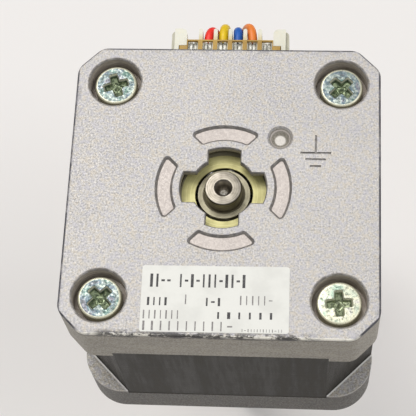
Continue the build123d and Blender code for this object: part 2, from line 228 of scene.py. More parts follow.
def cast_alu(name, light, mid, dark, cover=False):
    k = Mat(name, mid, rough=0.5, metal=0.25, spec=0.5)
    x, y, z = k.xyz()
    fine = k.noise(8200, 1.0, 0.6)
    grain = k.noise(4000, 2.0, 0.6)
    blot = k.noise(240, 4.0, 0.6)
    tone = k.math("ADD", k.math("MULTIPLY", grain, 0.68), k.math("MULTIPLY", fine, 0.32))
    tone = k.math("ADD", tone, k.math("MULTIPLY", k.math("SUBTRACT", k.math("ADD", k.math("MULTIPLY", blot, 0.5), k.math("MULTIPLY", k.noise(75, 3.0, 0.6), 0.5)), 0.5), 0.20))
    col = k.ramp(tone, [(0.36, dark), (0.45, mid), (0.54, light), (0.68, "#d6d2cd")])
    # faint warm and cool casts from grain to grain
    hue = k.noise(1900, 3.0, 0.65, dist=0.3)
    col = k.mix(k.step(hue, 0.50, 0.62, 0.0, 0.42), col, "#b0aeba")
    col = k.mix(k.step(hue, 0.49, 0.38, 0.0, 0.36), col, "#c7b9a2")
    # dark pinholes between the cast grains
    pit = k.math("MULTIPLY", k.step(k.noise(3700, 2.0, 0.7), 0.64, 0.74), 0.5)
    col = k.mix(pit, col, "#6a686c")
    ax_, ay_ = k.math("ABSOLUTE", x), k.math("ABSOLUTE", y)
    edge = k.math("MAXIMUM", ax_, ay_)
    diag = k.math("ADD", ax_, ay_)
    if cover:
        # side faces are duller and warmer than the blasted rear face, and much darker again as painted shade
        shaded_side = k.step(z, 0.03490, 0.03462)
        side_shade_tint = k.mix(k.step(k.noise(330, 3.0, 0.6, stretch=(0.5, 0.5, 2.2)), 0.4, 0.66), "#8f887a", "#7f796c")
        side_shade_tint = k.mix(k.step(grain, 0.42, 0.6, 0.0, 0.35), side_shade_tint, "#b3ad9e")
        col = k.mix(k.math("MULTIPLY", shaded_side, 0.86), col, side_shade_tint)
        # the top outline, where the rim turns over: painted shade on three sides; on the south side a painted highlight
        # along the lip with painted shade just under it
        rim = k.math("MAXIMUM", k.step(edge, 0.02044, 0.02060), k.step(diag, 0.03800, 0.03822))
        rim = k.math("MULTIPLY", rim, k.step(z, 0.03440, 0.03460))
        south = k.step(y, -0.0199, -0.0204)
        rim_painted_shade = k.math("MULTIPLY", k.math("MULTIPLY", rim, k.math("SUBTRACT", 1.0, south)), k.step(k.noise(650, 3.0, 0.6), 0.3, 0.55, 0.55, 0.95))
        col = k.mix(rim_painted_shade, col, "#3d3c44")
        # painted highlight along the south lip
        lip_painted_highlight = k.math("MULTIPLY", k.math("MULTIPLY", rim, south), k.step(z, 0.03468, 0.03480))
        col = k.mix(k.math("MULTIPLY", lip_painted_highlight, 0.7), col, "#f6f1e2")
        # painted shade just under the south lip
        under_lip_painted_shade = k.math("MULTIPLY", south, k.math("MULTIPLY", k.step(z, 0.03440, 0.03452), k.step(z, 0.03476, 0.03466)))
        col = k.mix(k.math("MULTIPLY", under_lip_painted_shade, 0.7), col, "#4c483f")
        # rubbed marks just inside the outline
        near = k.math("MULTIPLY", k.math("MAXIMUM", k.step(edge, 0.0197, 0.0207), k.step(diag, 0.0372, 0.0384)), k.step(z, 0.0342, 0.0347))
        mark = k.math("MULTIPLY", near, k.step(k.noise(420, 4.0, 0.75), 0.50, 0.64))
        col = k.mix(k.math("MULTIPLY", mark, 0.5), col, "#74727a")
        # heavier scuffs on the edge in front of the label
        front = k.math("MULTIPLY", k.step(y, -0.0198, -0.0206), k.step(z, 0.0338, 0.0345))
        span = k.math("MULTIPLY", k.step(x, -0.0165, -0.0145), k.step(x, 0.0135, 0.011))
        scuff = k.math("MULTIPLY", k.math("MULTIPLY", front, span), k.step(k.noise(900, 4.0, 0.8, stretch=(0.45, 1.0, 1.0)), 0.43, 0.56))
        col = k.mix(k.math("MULTIPLY", scuff, 0.92), col, "#262425")
        # walls and edges of the shallow recesses: painted shade, dark grey
        deep = k.step(z, 0.03499, 0.03494)
        rad = k.math("SQRT", k.math("ADD", k.math("MULTIPLY", x, x), k.math("MULTIPLY", y, y)))
        inner = k.step(rad, 0.0172, 0.0166)
        wall_painted_shade = k.math("MULTIPLY", k.math("MULTIPLY", deep, inner), k.step(z, 0.034602, 0.03462))
        dx, dy = k.math("SUBTRACT", x, 0.00738), k.math("SUBTRACT", y, 0.00738)
        rd = k.math("SQRT", k.math("ADD", k.math("MULTIPLY", dx, dx), k.math("MULTIPLY", dy, dy)))
        wall_painted_shade = k.math("MULTIPLY", wall_painted_shade, k.step(rd, 0.0016, 0.0020, 0.25, 1.0))
        col = k.mix(k.math("MULTIPLY", wall_painted_shade, k.step(k.noise(1300, 2.0, 0.6), 0.35, 0.6, 0.6, 0.92)), col, "#6f6b67")
        # painted light on the dimple's flat centre
        col = k.mix(k.step(rd, 0.0009, 0.0006, 0.0, 0.8), col, "#dcd7d0")
        # recess floors lifted towards pale pink: painted light against their shade
        recess_floor_painted_light = k.math("MULTIPLY", inner, k.math("MULTIPLY", k.step(z, 0.03465, 0.03461), k.step(z, 0.03445, 0.03455)))
        col = k.mix(k.math("MULTIPLY", recess_floor_painted_light, 0.45), col, "#f2e6e2")
        # counterbore walls: lighter and a little pink as painted light against their shade, with machined rings
        bx, by = k.math("SUBTRACT", ax_, 0.0155), k.math("SUBTRACT", ay_, 0.0155)
        rb = k.math("SQRT", k.math("ADD", k.math("MULTIPLY", bx, bx), k.math("MULTIPLY", by, by)))
        bore_wall_painted_light = k.math("MULTIPLY", k.step(rb, 0.00395, 0.00385), k.step(z, 0.0349, 0.0347))
        rings = k.noise(5200, 1.0, 0.5, stretch=(0.1, 0.1, 1.0))
        col = k.mix(bore_wall_painted_light, col, k.mix(k.step(rings, 0.42, 0.6), "#b5aa9f", "#cfc6bb"))
        # painted shade round the counterbore's top edge
        bore_edge_painted_shade = k.math("MULTIPLY", k.math("MULTIPLY", k.step(rb, 0.00350, 0.00358), k.step(rb, 0.00386, 0.00378)), k.step(z, 0.0346, 0.0348))
        col = k.mix(k.math("MULTIPLY", bore_edge_painted_shade, k.step(k.noise(900, 2.0, 0.6), 0.35, 0.6, 0.35, 0.8)), col, "#6f6962")
    else:
        # painted highlight along the ridge where the pad meets the stack's corner
        ridge_painted_highlight = k.math("MULTIPLY", k.step(k.math("ABSOLUTE", k.math("SUBTRACT", diag, 0.03525)), 0.00035, 0.00012), k.step(z, 0.0079, 0.0082))
        # flange sides darkened: painted shade
        shaded_side = k.step(z, 0.0080, 0.0072)
        side_shade_tint = k.mix(k.step(k.noise(330, 3.0, 0.6, stretch=(0.5, 0.5, 2.2)), 0.4, 0.66), "#3a362e", "#2f2b25")
        side_shade_tint = k.mix(k.step(grain, 0.42, 0.6, 0.0, 0.3), side_shade_tint, "#464239")
        col = k.mix(k.math("MULTIPLY", shaded_side, 0.85), col, side_shade_tint)
        col = k.mix(k.math("MULTIPLY", ridge_painted_highlight, 0.85), col, "#f4f2ec")
    k.color(col)
    k.rough(k.step(grain, 0.3, 0.7, 0.60, 0.40))
    k.bump(k.math("ADD", k.math("MULTIPLY", grain, 0.7), k.math("MULTIPLY", fine, 0.3)), 0.6, 0.00013)
    return k.m


M = {}
M["cover"] = cast_alu("cast_cover", "#c3bfbb", "#b8b5b1", "#9b999a", True)
M["flange"] = cast_alu("cast_flange", "#aca8a1", "#9c9890", "#827e77")

k = Mat("lamination", "#2a2723", rough=0.55, metal=0.0, spec=0.16)
x, y, z = k.xyz()
lam = k.math("FRACT", k.math("MULTIPLY", z, 2000.0))
groove = k.math("MULTIPLY", k.step(lam, 0.0, 0.10), k.step(lam, 1.0, 0.90))
band = k.noise(420, 3.0, 0.6, stretch=(1.0, 1.0, 0.05))
band2 = k.noise(1500, 2.0, 0.6, stretch=(1.0, 1.0, 0.12))
tone = k.math("ADD", k.math("MULTIPLY", band, 0.65), k.math("MULTIPLY", band2, 0.35))
col = k.ramp(tone, [(0.34, "#2b2824"), (0.5, "#35322d"), (0.66, "#423e38")])
col = k.mix(k.step(groove, 0.0, 1.0, 0.75, 0.0), col, "#171613")
lamv = k.noise(2100, 0.0, 0.5, stretch=(0.02, 0.02, 1.0))
col = k.mix(k.step(lamv, 0.4, 0.65, 0.0, 0.25), col, "#3f3b35")
rust = k.step(k.noise(700, 4.0, 0.7), 0.62, 0.74, 0.0, 0.35)
col = k.mix(rust, col, "#33291f")
k.color(col)
k.rough(k.step(tone, 0.35, 0.65, 0.42, 0.6))
k.bump(groove, 0.5, 0.00006)
M["lam"] = k.m

k = Mat("insulator", "#ddd8c8", rough=0.5, spec=0.45)
k.bump(k.noise(900, 3.0, 0.5), 0.15, 0.00005)
k.color(k.mix(k.step(k.noise(120, 2.0, 0.5), 0.4, 0.7, 0.0, 0.25), "#ddd8c8", "#c9c2ae"))
M["insulator"] = k.m

k = Mat("copper", "#a85a2c", rough=0.3, metal=0.85)
w = k.math("FRACT", k.math("MULTIPLY", k.math("ADD", k.xyz()[0], k.math("ADD", k.xyz()[1], k.xyz()[2])), 3300.0))
h = k.math("MULTIPLY", w, k.math("SUBTRACT", 1.0, w))
k.color(k.mix(k.step(h, 0.0, 0.2, 0.7, 0.0), "#a85a2c", "#4a2310"))
k.bump(h, 0.8, 0.0002)
M["copper"] = k.m


def metal(name, color, color2, rough=(0.25, 0.4), scale=900, stretch=None, metalness=1.0, bump=0.1, detail=3.0):
    q = Mat(name, color, rough=rough[0], metal=metalness)
    t = q.noise(scale, detail, 0.6, stretch=stretch)
    q.color(q.mix(q.step(t, 0.38, 0.64), color, color2))
    q.rough(q.step(t, 0.35, 0.65, rough[0], rough[1]))
    q.bump(t, bump, 0.00003)
    return q.m


def turned(name, color, color2, rough=(0.22, 0.38), lines=9000.0, metalness=1.0, axis=2, bump=0.25):
    """Turned metal: fine rings round Z, from noise along the radius and along Z."""
    q = Mat(name, color, rough=rough[0], metal=metalness)
    x_, y_, z_ = q.xyz()
    r = q.math("SQRT", q.math("ADD", q.math("MULTIPLY", x_, x_), q.math("MULTIPLY", y_, y_)))
    c = q.n("ShaderNodeCombineXYZ")
    q.link(r, c.inputs[0])
    q.link(z_, c.inputs[2])
    t = q.noise(lines, 2.0, 0.7, coord=c.outputs[0])
    t2 = q.noise(700, 3.0, 0.6)
    m = q.math("ADD", q.math("MULTIPLY", t, 0.6), q.math("MULTIPLY", t2, 0.4))
    q.color(q.mix(q.step(m, 0.4, 0.62), color, color2))
    q.rough(q.step(m, 0.38, 0.62, rough[0], rough[1]))
    q.bump(t, bump, 0.00003)
    return q.m


M["bearing"] = turned("bearing_ring", "#a19b82", "#878069", (0.38, 0.5), metalness=0.4)
M["shield"] = turned("bearing_shield", "#d6cf92", "#c2bb7e", (0.42, 0.55), lines=3600, metalness=0.25)
M["cage"] = metal("bearing_cage", "#9c968b", "#6f6a61", (0.3, 0.45))
M["ball"] = metal("bearing_ball", "#d6d6d6", "#c2c2c4", (0.08, 0.14), bump=0.02)
M["spring"] = metal("spring_washer", "#5a554d", "#3b3731", (0.3, 0.45))
M["shaft"] = turned("shaft_steel", "#9c968b", "#767065", (0.30, 0.44), lines=11000)
# white at the bottom of the shaft's centre hole: a painted highlight
q = Mat("shaft_centre_highlight", "#f2efe8", rough=0.35, metal=0.3)
q.color(q.mix(q.step(q.noise(4000, 2.0, 0.6), 0.4, 0.6), "#f4f1ea", "#c9c4ba"))
M["tip"] = q.m
M["magnet"] = metal("magnet", "#505053", "#3a3a3d", (0.4, 0.55), metalness=0.8)
M["brass"] = turned("nut_brass", "#d8b266", "#b68a3e", (0.2, 0.36), lines=8000)
M["tin"] = metal("tinned_contact", "#e9e9e1", "#aeaea2", (0.35, 0.55), scale=1500, metalness=0.15)


def plastic(name, color, color2, rough=0.35, subsurf=0.0, trans=0.0, scale=400, coat=0.0, bump=0.08):
    q = Mat(name, color, rough=rough, spec=0.5, subsurf=subsurf, trans=trans, coat=coat)
    q.color(q.mix(q.step(q.noise(scale, 3.0, 0.5), 0.4, 0.66), color, color2))
    q.bump(q.noise(2600, 2.0, 0.5), bump, 0.00004)
    return q.m


M["header"] = plastic("header_nylon", "#b58f32", "#a27d24", 0.4, subsurf=0.08)
k = Mat("plug_nylon", "#dad7c6", rough=0.32, spec=0.45, subsurf=0.25)
x, y, z = k.xyz()
# darker outer strip on the ears: painted shade standing in for a lower ledge there
ear_strip_painted_shade = k.math("MULTIPLY", k.step(k.math("ABSOLUTE", k.math("ADD", x, 0.00006)), 0.00772, 0.00784), k.step(z, 0.030, 0.031))
col = k.mix(k.step(k.noise(400, 3.0, 0.5), 0.4, 0.66), "#dedbcb", "#d7d4c2")
col = k.mix(k.math("MULTIPLY", ear_strip_painted_shade, 0.45), col, "#8f8b6c")
# the thin posts between the wires let the amber header show through at the root
inner = k.step(k.math("ABSOLUTE", x), 0.0058, 0.0055)
root = k.math("MULTIPLY", k.math("MULTIPLY", inner, k.step(y, 0.0246, 0.0234)), k.step(y, 0.02295, 0.0231))
col = k.mix(k.math("MULTIPLY", root, 0.75), col, "#cdb87c")
k.color(col)
k.bump(k.noise(2600, 2.0, 0.5), 0.08, 0.00004)
M["plug"] = k.m
M["red"] = plastic("wire_red", "#f03324", "#e4291c", 0.42)
M["yellow"] = plastic("wire_yellow", "#e6c40c", "#d9b406", 0.42)
M["blue"] = plastic("wire_blue", "#1c60b8", "#1554a8", 0.42)
M["orange"] = plastic("wire_orange", "#ea8433", "#df7726", 0.42)
M["sleeve"] = plastic("sleeve_black", "#161616", "#222222", 0.5)
M["tie"] = plastic("tie_nylon", "#efece0", "#e4e0d0", 0.35, subsurf=0.2)

# zinc plate with its colour film: blue-green and pink patches, and a pale yellow rim that is painted highlight
k = Mat("zinc_screw", "#9aa79f", rough=0.36, metal=0.55)
x, y, z = k.xyz()
film = k.noise(420, 3.0, 0.6, dist=0.6)
cool_film_painted_shade = k.ramp(film, [(0.30, "#456353"), (0.40, "#5f7874"), (0.48, "#868f8b"), (0.55, "#5b6f79"), (0.63, "#7f7c83"), (0.74, "#56687c")])
warm_film_painted_light = k.ramp(film, [(0.30, "#a3bba8"), (0.42, "#c6cbb6"), (0.50, "#dbd8bd"), (0.58, "#cfcfc1"), (0.66, "#bdb2b0"), (0.76, "#a9b5bf")])
# cool, darker film on the upper-left screws and warm, brighter film on the lower-right ones: painted shade and painted
# light by position
col = k.mix(k.step(k.math("SUBTRACT", x, y), 0.012, 0.027), cool_film_painted_shade, warm_film_painted_light)
pitn = k.noise(2500, 3.0, 0.7)
col = k.mix(k.step(pitn, 0.50, 0.64, 0.0, 0.65), col, "#3d4a45")
col = k.mix(k.step(pitn, 0.46, 0.36, 0.0, 0.5), col, "#d5dbcd")
# painted highlights: a pale crown round the rim and a bright lip round the recess
dx, dy = k.math("SUBTRACT", k.math("ABSOLUTE", x), 0.0155), k.math("SUBTRACT", k.math("ABSOLUTE", y), 0.0155)
rr = k.math("SQRT", k.math("ADD", k.math("MULTIPLY", dx, dx), k.math("MULTIPLY", dy, dy)))
crown_painted_highlight = k.math("MULTIPLY", k.step(rr, 0.00252, 0.00262), k.step(z, 0.0325, 0.0331))
col = k.mix(k.math("MULTIPLY", crown_painted_highlight, 0.8), col, "#e6e3c8")
# painted shade on the head's outer edge where the crown turns down
outer_rim_painted_shade = k.math("MULTIPLY", k.step(rr, 0.00280, 0.00288), k.step(z, 0.0325, 0.0329))
col = k.mix(k.math("MULTIPLY", outer_rim_painted_shade, 0.6), col, "#6b6a50")
# painted highlight on the recess's sloped edge
slope_painted_highlight = k.math("MULTIPLY", k.step(z, 0.03405, 0.03397), k.math("MULTIPLY", k.step(z, 0.03362, 0.03372), k.step(rr, 0.0022, 0.0020)))
col = k.mix(k.math("MULTIPLY", slope_painted_highlight, 0.85), col, "#f2efd9")
# recess floor: olive with darker patches, painted shade in the recess
low = k.math("MULTIPLY", k.step(z, 0.03366, 0.03340), k.step(rr, 0.0022, 0.0020))
col = k.mix(k.math("MULTIPLY", low, 0.85), col, k.mix(k.step(pitn, 0.42, 0.56), "#8d9a72", "#4e5a3c"))
k.color(col)
k.rough(k.step(pitn, 0.35, 0.65, 0.26, 0.46))
k.bump(pitn, 0.3, 0.00006)
M["zinc"] = k.m

k = Mat("label_film", "#efeeea", rough=0.42, spec=0.4)
k.color(k.mix(k.step(k.noise(260, 3.0, 0.6), 0.42, 0.68, 0.0, 1.0), "#e3e2db", "#dad9d2"))
k.bump(k.noise(1500, 2.0, 0.5), 0.05, 0.00005)
M["label"] = k.m
k = Mat("label_ink", "#3b3a3a", rough=0.6)
k.color(k.mix(k.step(k.noise(2500, 2.0, 0.6), 0.4, 0.7), "#3a393a", "#5c5a5a"))
M["ink"] = k.m
k = Mat("label_ink_grey", "#85817f", rough=0.6)
k.color(k.mix(k.step(k.noise(2500, 2.0, 0.6), 0.4, 0.7), "#7d7977", "#979391"))
M["ink_grey"] = k.m


def paint(node, mat):
    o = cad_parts[node]
    if not o.material_slots:
        o.data.materials.append(mat)
    for s in o.material_slots:
        s.material = mat


for node, key in {
    "rear_cover": "cover", "front_flange": "flange", "stator_stack": "lam", "front_insulator": "insulator", "rear_insulator": "insulator",
    "phase_a_coils": "copper", "phase_b_coils": "copper", "spring_washer": "spring",
    "front_bearing_inner_ring": "bearing", "front_bearing_outer_ring": "bearing", "front_bearing_balls": "ball", "front_bearing_cage": "cage", "front_bearing_shields": "shield",
    "rear_bearing_inner_ring": "bearing", "rear_bearing_outer_ring": "bearing", "rear_bearing_balls": "ball", "rear_bearing_cage": "cage", "rear_bearing_shields": "shield",
    "rotor_core_front": "lam", "rotor_core_rear": "lam", "rotor_magnet": "magnet", "rotor_spacers": "shaft",
    "lead_screw_nut": "brass", "wire_header": "header", "header_pins": "tin", "plug_housing": "plug", "plug_contacts": "tin",
    "end_housing": "plug", "end_terminals": "tin", "tie_screws": "zinc", "rating_label": "label", "lead_screw_shaft": "shaft",
    "harness_tie": "tie", "harness_sleeve": "sleeve",
}.items():
    paint(node, M[key])


# ---------------------------------------------------------------- mesh helpers
def new_mesh(name, verts, faces, mats, body="housing", smooth=True, mat_index=None, sharp=None):
    me = bpy.data.meshes.new(name)
    me.from_pydata([tuple(v) for v in verts], [], faces)
    for m in (mats if isinstance(mats, (list, tuple)) else [mats]):
        me.materials.append(m)
    if mat_index:
        me.polygons.foreach_set("material_index", mat_index)
    bm = bmesh.new()
    bm.from_mesh(me)
    bmesh.ops.remove_doubles(bm, verts=bm.verts, dist=1e-7)
    bmesh.ops.dissolve_degenerate(bm, dist=1e-8, edges=bm.edges)
    bmesh.ops.recalc_face_normals(bm, faces=bm.faces)
    bm.to_mesh(me)
    bm.free()
    if smooth:
        me.polygons.foreach_set("use_smooth", [True] * len(me.polygons))
        if sharp:
            me.set_sharp_from_angle(angle=math.radians(sharp))
    o = bpy.data.objects.new(name, me)
    coll.objects.link(o)
    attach(o, body)
    return o


def nurbs(name, points, depth=None, mat=None):
    cu = bpy.data.curves.new(name, "CURVE")
    cu.dimensions = "3D"
    sp = cu.splines.new("NURBS")
    sp.points.add(len(points) - 1)
    for p, q in zip(sp.points, points):
        p.co = (q[0] * MM, q[1] * MM, q[2] * MM, 1.0)
    sp.order_u = 3
    sp.use_endpoint_u = True
    sp.resolution_u = 12
    cu.resolution_u = 12
    if depth:
        cu.bevel_depth = depth * MM
        cu.bevel_resolution = 6
        cu.use_fill_caps = True
    if mat:
        cu.materials.append(mat)
    return cu


def line_of(points):
    """The smooth line of a route, in metres."""
    cu = nurbs("route", points)
    o = bpy.data.objects.new("route", cu)
    me = bpy.data.meshes.new_from_object(o)
    out = [v.co.copy() for v in me.vertices]
    bpy.data.meshes.remove(me)
    bpy.data.objects.remove(o)
    bpy.data.curves.remove(cu)
    return out


def evenly(line, step):
    cum = [0.0]
    for a, b in zip(line, line[1:]):
        cum.append(cum[-1] + (b - a).length)
    n = max(2, int(round(cum[-1] / step)))
    out, j = [], 0
    for i in range(n + 1):
        s = cum[-1] * i / n
        while j < len(cum) - 2 and cum[j + 1] < s:
            j += 1
        t = (s - cum[j]) / max(cum[j + 1] - cum[j], 1e-12)
        out.append(line[j].lerp(line[j + 1], min(1.0, max(0.0, t))))
    return out, cum[-1]


def frames(line, first):
    """Rotation-minimising normals along a line."""
    tans = []
    for i in range(len(line)):
        a, b = line[max(0, i - 1)], line[min(len(line) - 1, i + 1)]
        tans.append((b - a).normalized())
    n = (first - tans[0] * first.dot(tans[0])).normalized()
    out = []
    for i, t in enumerate(tans):
        if i:
            q = tans[i - 1].rotation_difference(t)
            n = q @ n
            n = (n - t * n.dot(t)).normalized()
        out.append((n.copy(), t.cross(n), t))
    return out


# ---------------------------------------------------------------- wires and harness
WIRES = {
    "lead_red": [(-3.17, 23.3, 31.85), (-3.17, 24.5, 32.0), (-2.72, 25.8, 31.4), (-2.15, 26.1, 29.2), (-1.80, 25.05, 26.6), (-0.66, 24.24, 23.25)],
    "lead_yellow": [(-1.10, 23.3, 31.85), (-1.10, 24.7, 32.1), (-0.98, 26.25, 31.5), (-0.76, 26.78, 29.2), (-0.64, 26.5, 26.3), (-0.66, 25.56, 23.25)],
    "lead_blue": [(0.98, 23.3, 31.85), (0.98, 24.6, 32.0), (0.90, 25.9, 31.3), (0.80, 26.0, 29.2), (0.78, 25.1, 26.5), (0.66, 24.24, 23.25)],
    "lead_orange": [(3.05, 23.3, 31.85), (3.05, 24.55, 32.1), (2.58, 26.12, 31.8), (1.92, 26.8, 29.9), (1.54, 26.6, 26.3), (0.66, 25.56, 23.25)],
}
for name, pts in WIRES.items():
    cu = nurbs(name + "_wire", pts, 0.65, M[name.split("_")[1]])
    o = bpy.data.objects.new(name + "_wire", cu)
    coll.objects.link(o)
    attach(o, "housing")
    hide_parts(name)

C = (-2.0, 29.3, -17.0)
RC = 17.5
route = [(0.0, 24.9, 20.0), (0.3, 25.0, 13.4), (1.8, 25.2, 7.1), (5.0, 25.5, 1.3), (9.6, 25.95, -3.2)]
turns, per = 2.25, 16
steps = int(turns * per)
for i in range(1, steps):
    th = math.radians(50 - 360.0 * i / per)
    yy = 26.0 + 2.95 * (i / per)
    route.append((C[0] + RC * 1.012 * math.cos(th), yy, C[2] + RC * 1.012 * math.sin(th)))
route += [(11.4, 32.6, -28.4), (9.2, 32.6, -32.6), (7.2, 32.2, -37.6), (6.4, 31.2, -42.9)]
raw = line_of(route)
line, harness_len = evenly(raw, 0.0009)
fr = frames(line, Vector((1, 0, 0)))
strands = [("red", (-0.62, -0.62)), ("yellow", (-0.62, 0.62)), ("blue", (0.62, -0.62)), ("orange", (0.62, 0.62))]
verts, faces, mi = [], [], []
SEG = 10
pitch = 0.030
n0, b0, t0 = fr[0]
for s, (cname, (gx, gy)) in enumerate(strands):
    g = Vector((gx, gy, 0))
    ph0 = math.atan2(g.dot(b0), g.dot(n0))
    base = len(verts)
    centre = []
    for i, p in enumerate(line):
        n_, b_, t_ = fr[i]
        a = ph0 + 2 * math.pi * (i * harness_len / (len(line) - 1)) / pitch
        centre.append(p + (n_ * math.cos(a) + b_ * math.sin(a)) * 0.00086)
    sf = frames(centre, n0)
    for i, c in enumerate(centre):
        n_, b_, t_ = sf[i]
        for j in range(SEG):
            a = 2 * math.pi * j / SEG
            verts.append(c + (n_ * math.cos(a) + b_ * math.sin(a)) * 0.00059)
    for i in range(len(centre) - 1):
        for j in range(SEG):
            q = base + i * SEG
            faces.append((q + j, q + (j + 1) % SEG, q + SEG + (j + 1) % SEG, q + SEG + j))
            mi.append(s)
    faces.append(tuple(base + j for j in range(SEG)))
    mi.append(s)
    q = base + (len(centre) - 1) * SEG
    faces.append(tuple(q + j for j in reversed(range(SEG))))
    mi.append(s)
harness = new_mesh("harness_bundle", verts, faces, [M[c] for c, _ in strands], "housing", mat_index=mi, sharp=60)
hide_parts("harness_lead", "harness_coil", "harness_tail")

# ---------------------------------------------------------------- lead screw with its rolled thread
Z_T0, Z_T1, R_MAJ, R_MIN, LEAD, P = -4.0, -61.0, 4.0, 2.78, 8.0, 2.0
# offsets within one 2 mm pitch, as fractions, crest first
rows = []
NA = 64
offs = [0.0, 0.085, 0.28, 0.365, 0.40, 0.53, 0.565, 0.60, 0.80, 0.835, 0.965]
rad = [R_MAJ - 0.06, R_MAJ, R_MAJ, R_MAJ - 0.06, R_MAJ - 0.14, R_MIN + 0.16, R_MIN + 0.05, R_MIN, R_MIN, R_MIN + 0.05, R_MIN + 0.95]
n_pitch = int((Z_T0 - Z_T1 + 2 * LEAD) / P) + 2
verts, faces = [], []
for ip in range(n_pitch):
    for of, r in zip(offs, rad):
        rows.append((Z_T0 + LEAD - (ip + of) * P, r))
for zr, r in rows:
    for j in range(NA):
        a = 2 * math.pi * j / NA
        z_ = zr + LEAD * j / NA
        zc = min(Z_T0, max(Z_T1, z_))
        lim = min(3.1 + (Z_T0 - zc) * 1.0, 3.1 + (zc - Z_T1) * 1.0)
        rr = min(r, lim)
        if z_ != zc:
            rr = min(rr, 3.1 if r > 3.1 else r)
            rr = min(rr, R_MIN)
        verts.append(V(rr * math.cos(a), rr * math.sin(a), zc))
nr = len(rows)
for i in range(nr - 1):
    for j in range(NA):
        if j < NA - 1:
            faces.append((i * NA + j, (i + 1) * NA + j, (i + 1) * NA + j + 1, i * NA + j + 1))
        else:
            # a whole turn on, the helix has climbed one lead: join the row that much higher up
            i2 = i - len(offs) * int(LEAD / P)
            if i2 >= 0:
                faces.append((i * NA + j, (i + 1) * NA + j, (i2 + 1) * NA, i2 * NA))


def revolve(points, n=64, close_axis=True):
    """Closed surface of revolution about Z from (r, z) points in mm, both ends on the axis."""
    vs, fs = [], []
    for r, z_ in points:
        for j in range(n):
            a = 2 * math.pi * j / n
            vs.append(V(r * math.cos(a), r * math.sin(a), z_))
    for i in range(len(points) - 1):
        for j in range(n):
            fs.append((i * n + j, i * n + (j + 1) % n, (i + 1) * n + (j + 1) % n, (i + 1) * n + j))
    return vs, fs


thread = new_mesh("lead_screw_thread", verts, faces, M["shaft"], "rotor", sharp=40)
top = 34.8
sv, sf_ = revolve([(0.0, top - 2.3), (0.30, top - 2.15), (0.50, top - 1.85), (0.55, top - 1.15), (1.16, top - 0.07), (1.24, top), (2.28, top), (2.36, top - 0.02),
                   (2.48, top - 0.18), (2.5, top - 0.25), (2.5, 5.0), (2.5, -3.2), (2.62, -3.7), (2.78, Z_T0 - 0.02), (2.2, Z_T0 - 0.5), (0.0, Z_T0 - 0.5)], 72)
neck = new_mesh("motor_shaft", sv, sf_, [M["shaft"], M["tip"]], "rotor", sharp=35)
# faces at the bottom of the centre hole take the painted highlight
for f in neck.data.polygons:
    c = f.center
    if c.x * c.x + c.y * c.y < (0.42 * MM) ** 2 and 0.0320 < c.z < 0.0329:
        f.material_index = 1
sv, sf_ = revolve([(0.0, Z_T1 + 0.5), (2.2, Z_T1 + 0.5), (2.78, Z_T1 + 0.02), (2.6, Z_T1 - 0.2), (2.5, Z_T1 - 0.4), (2.5, -68.5), (2.44, -68.62), (2.1, -68.95), (2.0, -69.0),
                   (0.95, -69.0), (0.88, -68.93), (0.42, -68.0), (0.36, -67.8), (0.0, -67.7)], 72)
journal = new_mesh("screw_end_journal", sv, sf_, M["shaft"], "rotor", sharp=35)
for o in (thread, neck, journal):
    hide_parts("lead_screw_shaft")


# ---------------------------------------------------------------- tie screws, pan heads with a cross recess
def screw_head(name, cx, cy, angle):
    zt, zs, rh = 34.1, 32.0, 2.93
    na, nr_ = 96, 44
    vs, fs = [], []

    def height(u, v, r):
        h = zt
        # crowned rim
        if r > rh - 0.36:
            t = (r - (rh - 0.36)) / 0.36
            h -= 0.36 * (1 - math.sqrt(max(0.0, 1 - t * t)))
        h -= 0.05 * (r / rh) ** 2
        # cross recess: four tapering wings that deepen to a conical centre
        d = 0.0
        for p, q in ((u, v), (v, u)):
            ap, aq = abs(p), abs(q)
            wing = 0.55 - 0.06 * ap
            if ap < 1.82 and aq < wing + 0.12:
                edge = min(1.0, max(0.0, (wing + 0.12 - aq) / 0.16))
                end = min(1.0, max(0.0, (1.82 - ap) / 0.34))
                d = max(d, (1.25 - 0.28 * ap) * edge * end)
        c = max(abs(u) + abs(v), r)
        if c < 1.15:
            d = max(d, 1.2 * min(1.0, (1.15 - c) / 0.35))
        d = min(d, 1.35)
        if r < 0.35:
            d += 0.25 * (1 - r / 0.35)
        return h - d

    ca, sa = math.cos(math.radians(angle)), math.sin(math.radians(angle))
    vs.append(V(cx, cy, height(0, 0, 0)))
    for i in range(1, nr_ + 1):
        r = rh * (i / nr_) ** 0.9
        for j in range(na):
            a = 2 * math.pi * j / na
            u, v = r * math.cos(a), r * math.sin(a)
            vs.append(V(cx + u * ca - v * sa, cy + u * sa + v * ca, height(u, v, r)))
    for j in range(na):
        fs.append((0, 1 + j, 1 + (j + 1) % na))
    for i in range(nr_ - 1):
        for j in range(na):
            a0 = 1 + i * na
            fs.append((a0 + j, a0 + na + j, a0 + na + (j + 1) % na, a0 + (j + 1) % na))
    last = 1 + (nr_ - 1) * na
    rings = [(rh, zs + 0.12), (rh - 0.12, zs), (1.5, zs), (1.45, zs - 0.1)]
    z_ = 8.2
    rings += [(1.45, z_), (1.44, 7.2)]
    zt_ = 7.0
    while zt_ > 5.2:
        rings += [(1.44, zt_), (1.22, zt_ - 0.2), (1.44, zt_ - 0.4)]
        zt_ -= 0.5
    rings += [(1.2, 4.9), (1.0, 4.7), (0.0, 4.7)]
    prev = last
    for r, z_ in rings:
        base = len(vs)
        for j in range(na):
            a = 2 * math.pi * j / na
            u, v = r * math.cos(a), r * math.sin(a)
            vs.append(V(cx + u * ca - v * sa, cy + u * sa + v * ca, z_))
        for j in range(na):
            fs.append((prev + j, base + j, base + (j + 1) % na, prev + (j + 1) % na))
        prev = base
    o = new_mesh(name, vs, fs, M["zinc"], "housing", sharp=38)
    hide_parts("tie_screws")
    return o


